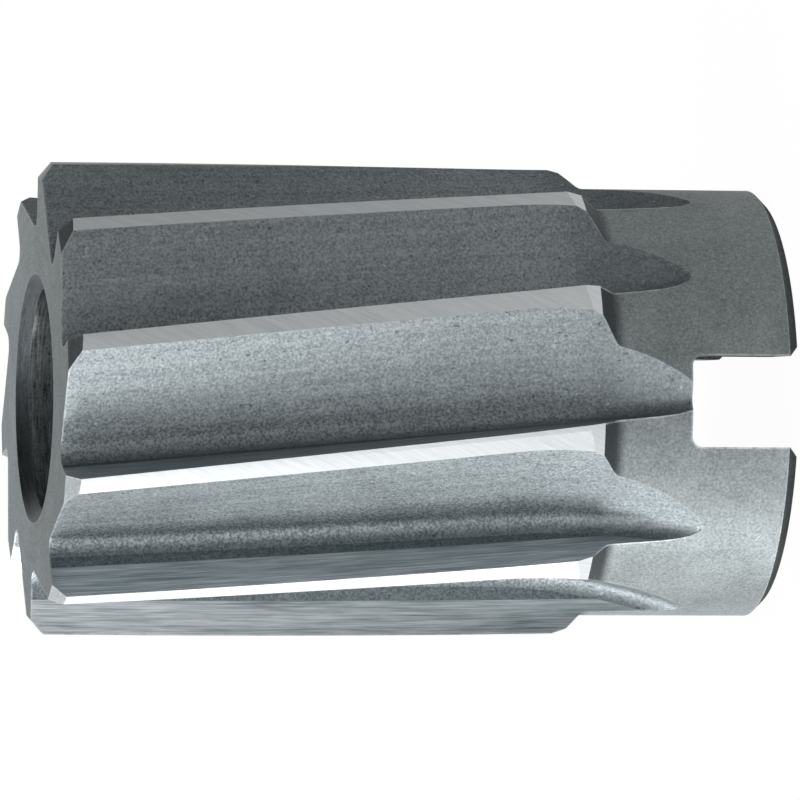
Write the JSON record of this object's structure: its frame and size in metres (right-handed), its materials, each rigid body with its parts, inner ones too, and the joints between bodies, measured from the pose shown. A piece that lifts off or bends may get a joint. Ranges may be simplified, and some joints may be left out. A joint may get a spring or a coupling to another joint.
{
  "type": "shell reamer",
  "caption": "One-piece steel shell reamer with left-hand helical flutes, a tapered through bore and a drive slot across its rear face.",
  "frame": {"origin": "middle of the drive end face, on the reamer's axis", "axes": "+Z along the axis from the drive end to the cutting end; the drive slot runs along Y"},
  "size_m": [0.036, 0.0358, 0.056],
  "materials": {
    "steel": "ground lands and end face, matt grey flutes and neck"
  },
  "bodies": {
    "root": {"reamer_body": "steel"}
  },
  "joints": []
}
